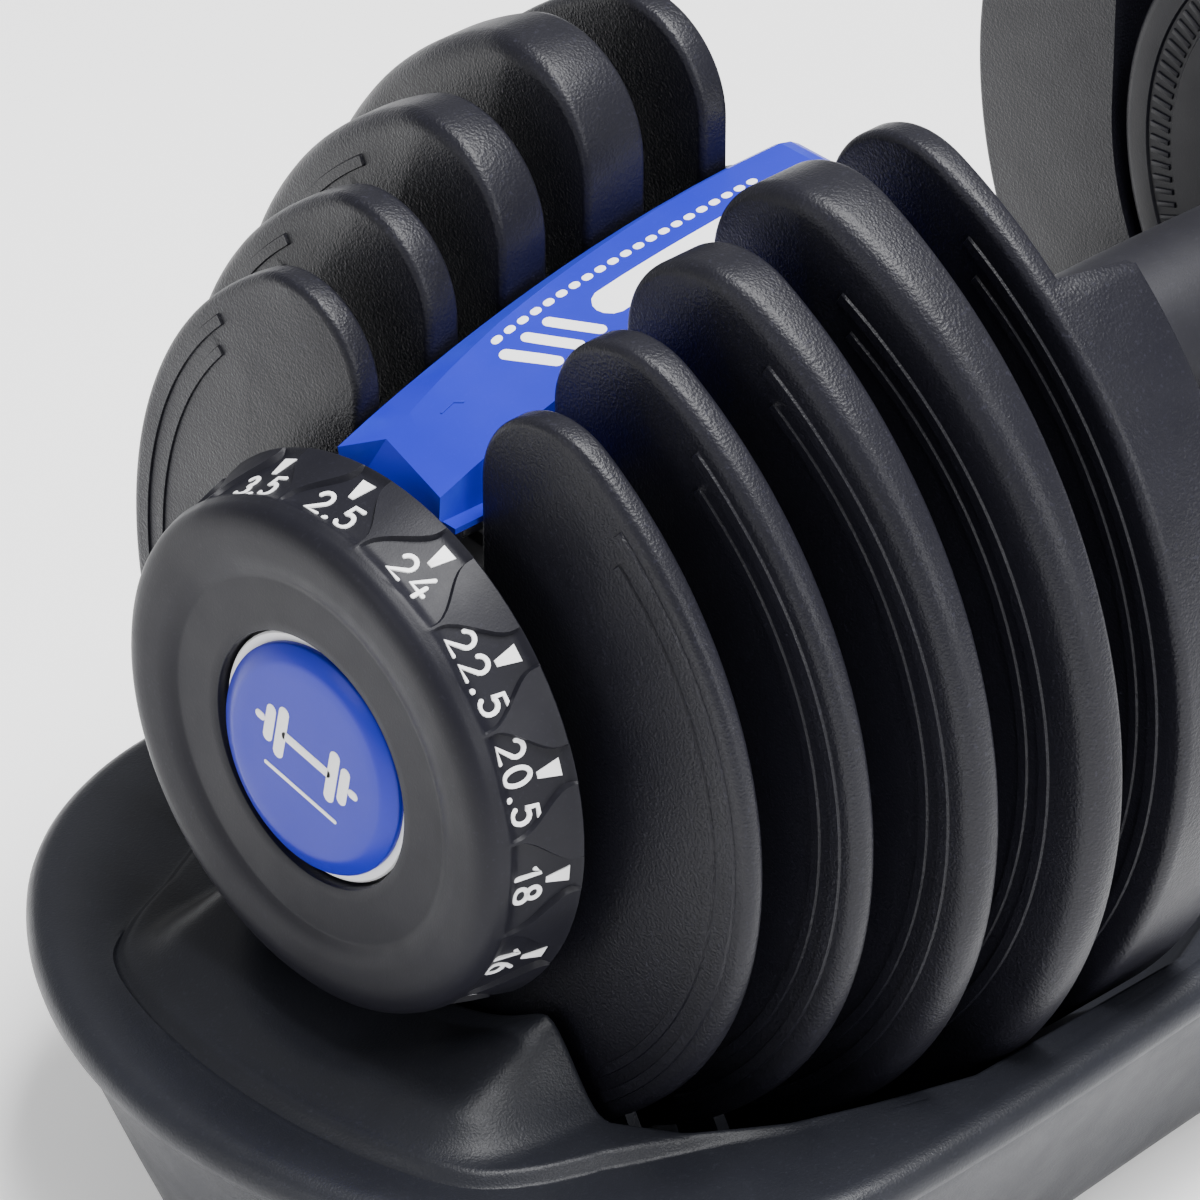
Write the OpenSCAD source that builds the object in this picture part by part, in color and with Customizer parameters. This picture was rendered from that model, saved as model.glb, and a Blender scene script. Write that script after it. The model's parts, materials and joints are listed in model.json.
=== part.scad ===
// Adjustable dumbbell in its storage base.
// The handle axis runs along X, Z is up and the origin lies on the floor under the centre.
// One end is modelled in "end" coordinates, where local Z runs inwards from the dial face,
// and is placed twice: as it is on the left, and turned half round for the right.

/* [Handle] */
// Height of the handle axis above the floor
axis_h = 115; // [112:1:125]
// Distance from the centre to each dial face
face_x = 197.5; // [190:0.5:205]
// Radius of the grip at its middle
grip_r = 17.5; // [16:0.5:20]
// Radius of the grip at its ends
grip_end_r = 16; // [15:0.5:18]
// Radius of the round cap at each end of the grip
inner_cap_r = 62; // [56:0.5:63]

/* [Dials] */
// Radius of the dial at its front shoulder
dial_front_r = 48.5; // [44:0.5:49]
// Radius of the dial at its back edge
dial_back_r = 51.5; // [48:0.5:53]
// Depth of the dial along the axis
dial_depth = 18.5; // [16:0.5:19]
// Number of weight settings round the dial
settings = 15; // [15:1:15]

/* [Weight plates] */
// Width of the slot that the handle drops into
slot_w = 30.4; // [29:0.1:32]
// Radius that rounds the horn tops of the outermost plate
horn_r = 17; // [14:0.5:18]
// Half width of the deep opening in the innermost plate
well_half = 64.5; // [63.5:0.5:68]

/* [Base] */
// Half length of the base rim
base_half_l = 228.5; // [222:0.5:235]
// Half width of the base rim near its ends
base_half_w = 97; // [94:0.5:104]
// Half width of the base rim at its middle
base_waist = 90; // [87:0.5:92]
// Radius of the base rim's corners
base_corner = 70; // [60:1:75]
// Radius of the base rim's ends, between the corners
base_tip = 110; // [105:1:125]
// Height of the rim above the floor
rim_z = 55; // [52:1:58]

/* [Hidden] */
$fn = 96;
eps = 0.05;              // how far a cutter runs past the face that it cuts

// Plates, from the outermost to the innermost: outer face, thickness, radius
// and how far the outer face falls back towards the rim.
plate_u = [27.2, 43.6, 60.4, 80.3, 107.7];
plate_t = [5.6, 7.2, 10.8, 14, 6.3];
plate_r = [79, 87, 96, 102.5, 101];
plate_fall = [1.8, 2.8, 4.6, 6.6, 2.4];
horn_more = [0, 1, 2.5, 3, 1.5];   // what each plate's horn radius adds to the outermost one's
plate_edge = 1.2;        // chamfer of both rims
fall_start_r = 46;       // radius where the outer face starts to fall back
plate_drop = 4;          // how far the slot's round bottom lies below the axis
heavy_u = 130.5;         // inner face of the innermost plate's thick lower body

// Settings at which each plate is carried, counted from the lightest (0).
carried = [
    [1, 3, 5, 7, 14],
    [2, 3, 6, 7, 9, 11, 13, 14],
    [4, 5, 6, 7, 10, 11, 12, 13, 14],
    [12, 13, 14],
    [8, 9, 10, 11, 12, 13, 14]
];
step_angle = 360 / settings;   // turn of the dial from one setting to the next

// Selector: lugs on the plates and ribs on the discs.
lug_in = 21.5;
lug_out = 26;
lug_half_w = 3.5;
lug_len = 3.5;
rib_in = 27;
rib_out = 30.5;
disc_r = 33;
disc_t = 2.5;
disc_gap = 0.7;          // between a lug's end and the disc it faces
hub_r = 14;
hub_bore = 10.05;
tube_r = 10;
tube_bore = 8;
rod_r = 5;
tube_u = 7.2;            // where the tube ends inside the dial
rod_u = 5.2;             // where the clamping rod ends
nut_t = 1.9;

// Lock: a bar that drops a tooth into the index gear when the handle is lifted.
gear_u = 19;
gear_t = 2.5;
gear_r = 24;
gear_root = 18.4;
notch_half = 2.2;
tooth_half = 1.5;
lock_drop = 5.4;
lock_u = 19.4;
lock_t = 1.8;
lock_foot = 52;          // depth of the bar's foot below the axis
support_u = 22;
support_t = 4.4;
support_top = 42;        // height of the end support above the axis

// Top cover
cover_u0 = 22.5;
cover_u1 = 128;
cover_half_w = 14.3;
cover_arc = 290;         // radius of the long curve along the top of the cover
cover_peak_u = 124.2;    // where that curve is highest
cover_peak_z = 66.9;     // height of the curve there, above the axis
cover_wall = 2;
cover_low = 43;          // lower edge of the cover, above the axis
bar_t = 3.4;             // thickness of the bridge bar under the cover
bar_half_w = 12;
screw_u = [36, 112];     // screws that hold the cover to the bridge bar
screw_y = 7;

// Inner cap
cap_u0 = 121.2;
cap_round = 2;

// Dial
dial_opening = 23.7;
ledge_u = 4.8;           // seat of the white insert inside the dial
ledge_r = 21;
insert_r = 23.2;
insert_t = 1.6;
insert_u = ledge_u - insert_t;
blue_r = 21.5;

// Base
rim_t = 8;
skirt_top = rim_z - rim_t;
plate_floor = 3;         // underside of the bottom plate
bottom_t = 3;
skirt_in_top = 3.5;
skirt_in_low = 21;
skirt_wall = 2.5;
trough_wall = 2;
trough_u = 24.5;         // outer end wall of the trough
// Radius of the trough at distances from the dial face, following the plates.
trough_steps = [[trough_u, 79.5], [32, 87], [47, 94], [62, 98.5], [82, 105], [131, 105], [150, 97]];
scoop_r = 55;
post_gap = 0.3;
screw_sites = [[190, 22], [190, -22], [0, 58], [0, -58], [-190, 22], [-190, -22]];
foot_sites = [[150, 56], [150, -56], [-150, 56], [-150, -56], [0, 40], [0, -40]];

charcoal = [0.16, 0.16, 0.18];
rubber_grey = [0.25, 0.25, 0.27];
satin_blue = [0.13, 0.2, 0.72];
steel = [0.7, 0.7, 0.72];

// ---------- placing helpers ----------

// Turns a child's Z axis to +X, with its -X side up.
module along_x() rotate([0, 90, 0]) children();

// Places one end: side -1 is the left end, side 1 the right end.
module end(side) {
    rotate([0, 0, side > 0 ? 180 : 0])
        translate([-face_x, 0, axis_h]) children();
}

module tube(r, bore, h) {
    difference() {
        cylinder(r = r, h = h);
        translate([0, 0, -eps]) cylinder(r = bore, h = h + 2 * eps);
    }
}

// Sector of a ring about the end's axis, centred on the bottom.
module bottom_sector(r_in, r_out, u, t, half_angle) {
    translate([0, 0, u])
        rotate([0, 0, -half_angle])
            rotate_extrude(angle = 2 * half_angle)
                translate([r_in, 0]) square([r_out - r_in, t]);
}

// ---------- weight plates ----------

module plate_blank(k, t) {
    r = plate_r[k];
    rotate_extrude()
        polygon([
            [0, 0], [fall_start_r, 0], [r - plate_edge, plate_fall[k]],
            [r, plate_fall[k] + plate_edge], [r, t - plate_edge], [r - plate_edge, t], [0, t]
        ]);
}

// Cutter for one horn: everything above the arc that rounds the horn's inner corner.
module horn_corner(k, t) {
    r = plate_r[k];
    horn = horn_r + horn_more[k];
    w = slot_w / 2;
    cx = w + horn;
    stand_out = 0.4;     // the rounding arc runs this far past the rim, so that they cross cleanly
    cz = sqrt(pow(r - horn + stand_out, 2) - cx * cx);
    reach = (r + 6) / (r - horn);
    difference() {
        translate([0, 0, -1])
            linear_extrude(t + 2)
                polygon([[-cz, w - 1], [-cz, cx], [-cz * reach, cx * reach], [-r - 6, w - 1]]);
        translate([-cz, cx, -2]) cylinder(r = horn, h = t + 4);
    }
}

module plate_slot(t) {
    translate([plate_drop, 0, -1]) cylinder(r = slot_w / 2, h = t + 2);
    translate([plate_drop - 160, -slot_w / 2, -1]) cube([160, slot_w, t + 2]);
}

module plate_lug(t) {
    translate([lug_in, -lug_half_w, t - 0.5]) cube([lug_out - lug_in, 2 * lug_half_w, lug_len + 0.5]);
}

// Cutter for the deep opening round the inner cap, which leaves the innermost plate
// thin between its horns and thick below and beside the cap.
module deep_opening(t) {
    translate([0, 0, t]) {
        cylinder(r = well_half, h = 40);
        translate([-160, -well_half, 0]) cube([160, 2 * well_half, 40]);
    }
}

function full_t(k) = k == 4 ? heavy_u - plate_u[4] : plate_t[k];

module plate(k, side) {
    color(charcoal)
        end(side) along_x() translate([0, 0, plate_u[k]]) difference() {
            union() {
                difference() {
                    plate_blank(k, full_t(k));
                    if (k == 4) deep_opening(plate_t[k]);
                }
                plate_lug(plate_t[k]);
            }
            plate_slot(plate_t[k]);
            horn_corner(k, plate_t[k]);
            mirror([0, 1, 0]) horn_corner(k, plate_t[k]);
        }
}

// ---------- selector ----------

function disc_u(k) = plate_u[k] + plate_t[k] + lug_len + disc_gap;

function has(v, n) = len([for (x = v) if (x == n) 1]) > 0;

// Number of settings in an unbroken run from setting n upwards.
function run(v, n) = has(v, n) ? 1 + run(v, n + 1) : 0;

module selector_disc(k, side) {
    color("dimgray")
        end(side) along_x() translate([0, 0, disc_u(k)]) {
            tube(disc_r, hub_r + 0.05, disc_t);
            for (n = carried[k]) if (!has(carried[k], n - 1))
                let (count = run(carried[k], n))
                rotate([0, 0, -step_angle * (n + count - 0.5)])
                    translate([0, 0, -lug_len])
                        rotate_extrude(angle = step_angle * count)
                            translate([rib_in, 0]) square([rib_out - rib_in, lug_len + 0.5]);
        }
}

module selector_hub(side) {
    color("darkslategray")
        end(side) along_x() translate([0, 0, dial_depth])
            tube(hub_r, hub_bore, cap_u0 - dial_depth - 0.5);
}

module index_gear(side) {
    color("lightgray")
        end(side) along_x() translate([0, 0, gear_u]) difference() {
            tube(gear_r, hub_r + 0.05, gear_t);
            for (n = [0 : settings - 1])
                rotate([0, 0, 180 - step_angle * n])
                    translate([gear_root, -notch_half, -1])
                        cube([gear_r, 2 * notch_half, gear_t + 2]);
        }
}

// ---------- dial ----------

module dial(side) {
    round_r = 5;
    color(rubber_grey)
        end(side) along_x() difference() {
            rotate_extrude()
                polygon(concat(
                    [[0, 0.8], [dial_opening, 0.8], [35, 0], [dial_front_r - round_r, 0]],
                    [for (a = [15 : 15 : 90])
                        [dial_front_r - round_r + round_r * sin(a), round_r - round_r * cos(a)]],
                    [[dial_back_r, dial_depth - 1.5], [dial_back_r - 1.5, dial_depth], [0, dial_depth]]
                ));
            translate([0, 0, -1]) cylinder(r = dial_opening, h = 1 + ledge_u);
            cylinder(r = ledge_r, h = 7);
            translate([0, 0, 6]) cylinder(r = tube_r + 1.5, h = dial_depth);
        }
}

module dial_insert(side) {
    color("white")
        end(side) along_x() translate([0, 0, insert_u]) cylinder(r = insert_r, h = insert_t);
}

module dial_cap(side) {
    color(satin_blue)
        end(side) along_x() translate([0, 0, 0.6])
            rotate_extrude()
                polygon([[0, 0], [blue_r - 2, 0], [blue_r, 1.4], [blue_r, insert_u - 0.6],
                    [0, insert_u - 0.6]]);
}

// ---------- lock ----------

module lock_window() {
    hull_r = gear_r + 0.8;
    cylinder(r = hull_r, h = lock_t + 2);
    translate([-lock_drop, 0, 0]) cylinder(r = hull_r, h = lock_t + 2);
    translate([-lock_drop, -hull_r, 0]) cube([lock_drop, 2 * hull_r, lock_t + 2]);
}

module lock_bar(side) {
    bar_half = 28.5;
    bar_top = 34.5;
    tooth_tip = gear_r + 0.6;
    color("lightgray")
        end(side) along_x() translate([0, 0, lock_u]) {
            difference() {
                union() {
                    cylinder(r = bar_half, h = lock_t);
                    translate([-bar_top, -bar_half + 8, 0]) cube([bar_top, 2 * bar_half - 16, lock_t]);
                    translate([0, -5, 0]) cube([lock_foot, 10, lock_t]);
                }
                translate([0, 0, -1]) lock_window();
            }
            translate([-bar_top, -tooth_half, 0])
                cube([bar_top - tooth_tip, 2 * tooth_half, lock_t]);
        }
}

module lock_spring(side) {
    spring_low = 34.8;
    spring_high = 41.2;
    color(steel)
        end(side) translate([lock_u + lock_t / 2 - 0.2, 0, spring_low])
            tube(1.3, 0.8, spring_high - spring_low);
}

// ---------- handle ----------

module handle_tube() {
    color(steel)
        translate([-face_x + tube_u, 0, axis_h]) along_x()
            tube(tube_r, tube_bore, 2 * (face_x - tube_u));
}

module axle_rod() {
    color(steel)
        translate([-face_x + rod_u, 0, axis_h]) along_x()
            cylinder(r = rod_r, h = 2 * (face_x - rod_u));
}

module axle_nuts() {
    color(steel)
        for (side = [-1, 1])
            end(side) along_x() translate([0, 0, tube_u - nut_t]) difference() {
                cylinder(r = 8, h = nut_t, $fn = 6);
                translate([0, 0, -1]) cylinder(r = rod_r + 0.05, h = nut_t + 2);
            }
}

module grip_sleeve() {
    half = face_x - heavy_u - 0.6;
    color(rubber_grey)
        translate([0, 0, axis_h]) along_x() difference() {
            rotate_extrude()
                polygon(concat(
                    [[0, -half]],
                    [for (i = [-8 : 8])
                        [grip_end_r + (grip_r - grip_end_r) * (1 - pow(i / 8, 2)), half * i / 8]],
                    [[0, half]]
                ));
            translate([0, 0, -half - 1]) cylinder(r = tube_r + 0.05, h = 2 * half + 2);
        }
}

module inner_cap(side) {
    color(charcoal)
        end(side) along_x() difference() {
            rotate_extrude()
                polygon([
                    [0, cap_u0], [inner_cap_r - cap_round, cap_u0], [inner_cap_r, cap_u0 + cap_round],
                    [inner_cap_r, heavy_u - cap_round], [inner_cap_r - cap_round, heavy_u], [0, heavy_u]
                ]);
            translate([0, 0, cap_u0 - 1]) cylinder(r = tube_r + 0.05, h = 20);
            // seat for the inner end of the top cover
            translate([-inner_cap_r - 1, -cover_half_w - 0.2, cap_u0 - 1])
                cube([inner_cap_r + 1 - cover_low, 2 * cover_half_w + 0.4, cover_u1 - cap_u0 + 1.2]);
        }
}

function cover_top(u) =
    cover_peak_z - cover_arc + sqrt(cover_arc * cover_arc - (cover_peak_u - u) * (cover_peak_u - u));

// Body of the cover, shrunk by the inset; the hollow inside runs on below its lower edge.
module cover_block(inset) {
    low = cover_low - (inset > 0 ? 1 : 0);
    steep = 20;
    intersection() {
        translate([0, cover_half_w - inset, 0])
            rotate([90, 0, 0]) linear_extrude(2 * (cover_half_w - inset)) polygon([
                [cover_u0 + inset, low],
                [cover_u0 + inset, cover_top(cover_u0) - 3 - inset],
                [cover_u0 + inset + steep, cover_top(cover_u0) + 1.25 * steep - inset],
                [cover_u1 - inset - steep, cover_top(cover_u1) + 1.25 * steep - inset],
                [cover_u1 - inset, cover_top(cover_u1) - 4 - inset],
                [cover_u1 - inset, low]
            ]);
        translate([cover_peak_u, 0, cover_peak_z - cover_arc])
            rotate([90, 0, 0]) cylinder(r = cover_arc - inset, h = 2 * cover_half_w + 2, center = true);
    }
}

// Places a child at each of the four screws of one end.
module at_cover_screws() {
    for (u = screw_u, y = [-screw_y, screw_y]) translate([u, y, 0]) children();
}

module top_cover(side) {
    boss_top = 5;
    color(satin_blue)
        end(side) difference() {
            union() {
                difference() {
                    cover_block(0);
                    cover_block(cover_wall);
                }
                for (u = screw_u, y = [-screw_y, screw_y])
                    translate([u, y, cover_low]) cylinder(r = 3, h = cover_top(u) - cover_low - 1);
            }
            at_cover_screws() translate([0, 0, cover_low - 1]) cylinder(r = 1.55, h = boss_top);
        }
}

// Flat bar that ties the end support to the inner cap, above the selector discs.
module bridge_bar(side) {
    u0 = support_u + support_t;
    color(steel)
        end(side) difference() {
            translate([u0, -bar_half_w, cover_low - bar_t])
                cube([cap_u0 - u0, 2 * bar_half_w, bar_t]);
            at_cover_screws() translate([0, 0, cover_low - bar_t - 1]) cylinder(r = 1.6, h = bar_t + 2);
        }
}

module end_support(side) {
    ring_r = 30;
    neck_half = 11.5;
    color(charcoal)
        end(side) {
            along_x() translate([0, 0, support_u]) difference() {
                union() {
                    cylinder(r = ring_r, h = support_t);
                    translate([-support_top, -neck_half, 0]) cube([support_top, 2 * neck_half, support_t]);
                }
                translate([0, 0, -1]) cylinder(r = hub_r + 0.5, h = support_t + 2);
            }
            // ledge over the lock bar that holds the spring's upper end
            translate([lock_u, -neck_half, support_top - 0.6])
                cube([support_u - lock_u, 2 * neck_half, 0.6]);
        }
}

module cover_screws() {
    color(steel)
        for (side = [-1, 1])
            end(side) at_cover_screws() translate([0, 0, cover_low - bar_t]) {
                translate([0, 0, -1.4]) cylinder(r = 2.6, h = 1.4);
                translate([0, 0, -0.5]) cylinder(r = 1.5, h = bar_t + 4);
            }
}

// ---------- base ----------

// Centres of the arcs at the corners and at the ends of the rim, and the angle where they meet.
corner_y = base_half_w - base_corner;
tip_x = base_half_l - base_tip;
corner_x = tip_x + sqrt(pow(base_tip - base_corner, 2) - corner_y * corner_y);
meet = asin(corner_y / (base_tip - base_corner));

function waist(x) = base_waist + (base_half_w - base_waist) * (1 - cos(180 * x / corner_x)) / 2;
function bend(x, y, r, from, to, steps) =
    [for (i = [1 : steps]) let (a = from + (to - from) * i / steps) [x + r * cos(a), y + r * sin(a)]];

// A quarter of the rim's outline, from the middle of the long side to the end.
function rim_quarter(inset) = concat(
    [for (i = [0 : 8]) let (x = corner_x * i / 8) [x, waist(x) - inset]],
    bend(corner_x, corner_y, base_corner - inset, 90, meet, 6),
    bend(tip_x, 0, base_tip - inset, meet, 0, 4)
);

function reversed(v) = [for (i = [len(v) - 1 : -1 : 0]) v[i]];
function mirrored(v, sx, sy) = [for (p = v) [p[0] * sx, p[1] * sy]];

function rim_points(inset) =
    let (q = rim_quarter(inset), side = [for (i = [1 : len(q) - 1]) q[i]])
    concat(
        q, reversed(mirrored(q, 1, -1)),
        mirrored(side, -1, -1), reversed(mirrored(side, -1, 1))
    );

module rim_outline(inset) polygon(rim_points(inset));

function trough_at(u) = lookup(u, trough_steps);

// Half profile of the trough that the plates stand in, turned about the handle axis.
module trough_profile(grow) {
    end_x = face_x - trough_u + grow;
    half = concat(
        [[trough_at(trough_u), end_x]],
        [for (i = [1 : len(trough_steps) - 1]) [trough_steps[i][1], face_x - trough_steps[i][0]]]
    );
    polygon(concat(
        [[0, -end_x]], [for (p = half) [p[0] + grow, -p[1]]],
        reversed([for (p = half) [p[0] + grow, p[1]]]), [[0, end_x]]
    ));
}

module trough(grow) {
    translate([0, 0, axis_h]) along_x() rotate_extrude() trough_profile(grow);
}

// Raised seat under one dial.
module pedestal(side) {
    u0 = -15;
    u1 = trough_u - 0.5;
    foot = rim_z - axis_h - 4;
    low = rim_z - axis_h;
    top = -45;
    end(side) difference() {
        intersection() {
            translate([0, 60, 0]) rotate([90, 0, 0]) linear_extrude(120)
                polygon([[u0, foot], [u0 + 16, low + 8], [u1, top], [u1, foot]]);
            translate([u0 - 1, 0, 0]) rotate([90, 0, 90]) linear_extrude(u1 - u0 + 1)
                polygon([[-56, foot], [-36, top], [36, top], [56, foot]]);
        }
        along_x() translate([0, 0, u0 - 2]) cylinder(r = scoop_r, h = u1 - u0 + 4);
    }
    // post that holds the lock bar up while the handle is docked
    end(side) translate([lock_u - 0.4, -4, -scoop_r - 1])
        cube([lock_t + 0.8, 8, scoop_r + 1 - lock_foot - post_gap]);
}

// Cradle under one plate and the divider behind it.
module cradle(k, side) {
    divider_t = 2.4;
    into_wall = 0.9;
    u_end = plate_u[k] + full_t(k);
    end(side) along_x() {
        bottom_sector(plate_r[k] + 0.3, trough_at(u_end) + into_wall, plate_u[k], full_t(k), 26);
        if (k < 4)
            let (u = (u_end + plate_u[k + 1] - divider_t) / 2)
                bottom_sector(plate_r[k] - 9, trough_at(u + divider_t) + into_wall, u, divider_t, 30);
    }
}

module base_tray() {
    color(charcoal) difference() {
        union() {
            difference() {
                union() {
                    translate([0, 0, skirt_top]) linear_extrude(2) rim_outline(1.5);
                    translate([0, 0, skirt_top + 2]) linear_extrude(3) rim_outline(0);
                    translate([0, 0, skirt_top + 5]) linear_extrude(rim_t - 5) rim_outline(2.5);
                    intersection() {
                        trough(trough_wall);
                        translate([-250, -150, 0]) cube([500, 300, rim_z - 1]);
                    }
                    for (p = screw_sites)
                        translate([p[0], p[1], plate_floor + bottom_t])
                            cylinder(r = 5, h = p[0] == 0 ? 34 : skirt_top - 3);
                    for (side = [-1, 1]) pedestal(side);
                }
                trough(0);
            }
            for (side = [-1, 1], k = [0 : 4]) cradle(k, side);
        }
        for (p = screw_sites)
            translate([p[0], p[1], plate_floor]) cylinder(r = 1.95, h = 16);
    }
}

// Points of the rim's outline at one height.
function ring_points(inset, z) = [for (p = rim_points(inset)) [p[0], p[1], z]];

// Drafted side wall: four rings of points, joined outside, over the top, inside and below.
module base_skirt() {
    rings = [
        ring_points(skirt_in_low, plate_floor),
        ring_points(skirt_in_top, skirt_top),
        ring_points(skirt_in_top + skirt_wall, skirt_top),
        ring_points(skirt_in_low + skirt_wall, plate_floor)
    ];
    n = len(rings[0]);
    color(charcoal)
        polyhedron(
            points = [for (ring = rings) each ring],
            faces = [for (j = [0 : 3], i = [0 : n - 1]) let (next = (j + 1) % 4, i2 = (i + 1) % n)
                [j * n + i, j * n + i2, next * n + i2, next * n + i]]
        );
}

module base_bottom() {
    color(charcoal) difference() {
        translate([0, 0, plate_floor]) linear_extrude(bottom_t)
            rim_outline(skirt_in_low + skirt_wall + 0.3);
        for (p = screw_sites)
            translate([p[0], p[1], 0]) {
                cylinder(r = 2.2, h = 10);
                cylinder(r = 4.4, h = plate_floor + 1.6);
            }
    }
}

module base_feet() {
    color("black")
        for (p = foot_sites)
            translate([p[0], p[1], 0]) rotate_extrude()
                polygon([[0, 0], [8, 0], [9, 1], [9, plate_floor], [0, plate_floor]]);
}

module base_screws() {
    color(steel)
        for (p = screw_sites)
            translate([p[0], p[1], plate_floor + 0.2]) {
                cylinder(r = 4, h = 1.4);
                cylinder(r = 1.9, h = 14);
            }
}

base_tray();
base_skirt();
base_bottom();
base_feet();
base_screws();
handle_tube();
grip_sleeve();
axle_rod();
axle_nuts();
cover_screws();
inner_cap(-1);  // inner_cap_left
inner_cap(1);  // inner_cap_right
top_cover(-1);  // top_cover_left
top_cover(1);  // top_cover_right
bridge_bar(-1);  // bridge_bar_left
bridge_bar(1);  // bridge_bar_right
end_support(-1);  // end_support_left
end_support(1);  // end_support_right
lock_spring(-1);  // lock_spring_left
lock_spring(1);  // lock_spring_right
lock_bar(-1);  // lock_bar_left
lock_bar(1);  // lock_bar_right
dial(-1);  // dial_left
dial(1);  // dial_right
dial_insert(-1);  // dial_insert_left
dial_insert(1);  // dial_insert_right
dial_cap(-1);  // dial_cap_left
dial_cap(1);  // dial_cap_right
index_gear(-1);  // index_gear_left
index_gear(1);  // index_gear_right
selector_hub(-1);  // selector_hub_left
selector_hub(1);  // selector_hub_right
for (k = [0 : 4]) {
    selector_disc(k, -1);
    selector_disc(k, 1);
    plate(k, -1);
    plate(k, 1);
}
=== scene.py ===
"""Adjustable dumbbell in its storage base: meshes, materials and studio.

One end is built in "end" coordinates, in millimetres: u runs inwards from the dial face,
y across and z up from the handle axis. place() turns them into the shared frame.
"""

import json
import math

import bmesh
import bpy
import numpy as np
from mathutils import Matrix, Vector
from mathutils.geometry import tessellate_polygon


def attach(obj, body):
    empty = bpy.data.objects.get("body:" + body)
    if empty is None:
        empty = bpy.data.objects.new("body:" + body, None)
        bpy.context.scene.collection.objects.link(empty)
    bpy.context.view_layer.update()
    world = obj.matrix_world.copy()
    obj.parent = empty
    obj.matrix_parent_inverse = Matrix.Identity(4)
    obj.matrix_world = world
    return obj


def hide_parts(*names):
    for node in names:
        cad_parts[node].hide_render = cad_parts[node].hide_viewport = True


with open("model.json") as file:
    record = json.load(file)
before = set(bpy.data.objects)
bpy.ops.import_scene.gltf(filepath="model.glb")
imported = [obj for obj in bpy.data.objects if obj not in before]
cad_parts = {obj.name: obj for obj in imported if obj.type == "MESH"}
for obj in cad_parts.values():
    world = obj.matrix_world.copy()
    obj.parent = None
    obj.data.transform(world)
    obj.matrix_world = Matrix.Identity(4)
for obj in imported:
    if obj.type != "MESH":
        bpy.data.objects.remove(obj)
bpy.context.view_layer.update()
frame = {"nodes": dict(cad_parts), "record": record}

MM = 0.001
WELD = 0.004 * MM
SLIVER = 0.001 * MM

FACE_X = 197.5  # outer face of a dial, from the middle
AXIS_H = 115.0  # handle axis above the ground
TUBE_R = 10.1  # handle tube, where the inner cap and the grip fit round it
SIDES = {"left": -1, "right": 1}

# Plates, from the outermost to the innermost
PLATE_U = [27.2, 43.6, 60.4, 80.3, 107.7]
PLATE_T = [5.6, 7.2, 10.8, 14.0, 6.3]
PLATE_R = [79.0, 87.0, 96.0, 102.5, 101.0]
INNERMOST = 4
HEAVY_U = 130.5  # inner face of the innermost plate's thick lower body
WELL_HALF = 64.5  # half width of the opening in it that takes the inner cap
SLOT_HALF = 15.2
SLOT_DROP = 4.0  # centre of the slot's round bottom, below the axis
HORN_R = [17.0, 18.0, 19.5, 20.0, 18.5]

# Outer faces: flat as far out as the crease, then falling inwards to the rim
CREASE = [44.0, 45.0, 43.0, 40.0, 44.0]
PLATE_FALL = [2.0, 3.0, 5.0, 7.0, 2.6]
FALL_BLEND = 1.5
SLOT_EDGE_R = 1.5
HORN_EDGE_R = [1.5, 1.9, 2.8, 3.4, 1.7]
RIM_EDGE_R = [2.0, 2.6, 3.6, 4.5, 2.2]
REAR_EDGE_R = 1.2

# Two raised ribs along the rim: radius of the outer one and the angle at which it ends, in degrees
RIB_R = [74.6, 82.0, 89.0, 91.5, 94.0]
RIB_TOP = [49.5, 53.0, 57.0, 60.0, 59.0]
RIB_GAP = 4.4
RIB_STEP = 3.3  # the inner rib ends this much lower
RIB_SKEW = 2.5  # and both end this much lower on the +y side
RIB_RAMP = 0.3

SETTINGS = ["2.5", "3.5", "4.5", "5.5", "6.5", "8", "9", "10", "11.5", "13.5", "16", "18",
            "20.5", "22.5", "24"]
PITCH = 24.0


def smooth(x):
    x = np.clip(x, 0.0, 1.0)
    return x * x * (3 - 2 * x)


def place(side, points):
    """Points in the shared frame, in metres, of points in end coordinates or, with no side, in mm."""
    p = np.asarray(points, float).reshape(-1, 3)
    if side is None:
        return p * MM
    s = SIDES[side]
    return np.column_stack((s * (FACE_X - p[:, 0]), -s * p[:, 1], p[:, 2] + AXIS_H)) * MM


class Shell:
    """Collects points and faces of one piece."""

    def __init__(self):
        self.points, self.faces, self.tags, self.count = [], [], [], 0

    def add(self, points):
        points = np.asarray(points, float).reshape(-1, 3)
        first = self.count
        self.points.append(points)
        self.count += len(points)
        return first

    def grid(self, rows, wrap=False, tag=0):
        """Quads between successive rows of points; wrap joins the last column to the first."""
        rows = np.asarray(rows, float)
        n_rows, n_cols = rows.shape[:2]
        first = self.add(rows)
        for i in range(n_rows - 1):
            for j in range(n_cols if wrap else n_cols - 1):
                a = first + i * n_cols + j
                b = first + i * n_cols + (j + 1) % n_cols
                self.faces.append((a, b, b + n_cols, a + n_cols))
                self.tags.append(tag)

    def fill(self, loop):
        """Flat or nearly flat polygon of any outline, cut into triangles."""
        first = self.add(loop)
        for tri in tessellate_polygon([[Vector(p) for p in loop]]):
            self.faces.append(tuple(first + i for i in tri))
            self.tags.append(0)

    def cap(self, loop):
        """One face over a convex loop."""
        first = self.add(loop)
        self.faces.append(tuple(range(first, first + len(loop))))
        self.tags.append(0)


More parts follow.
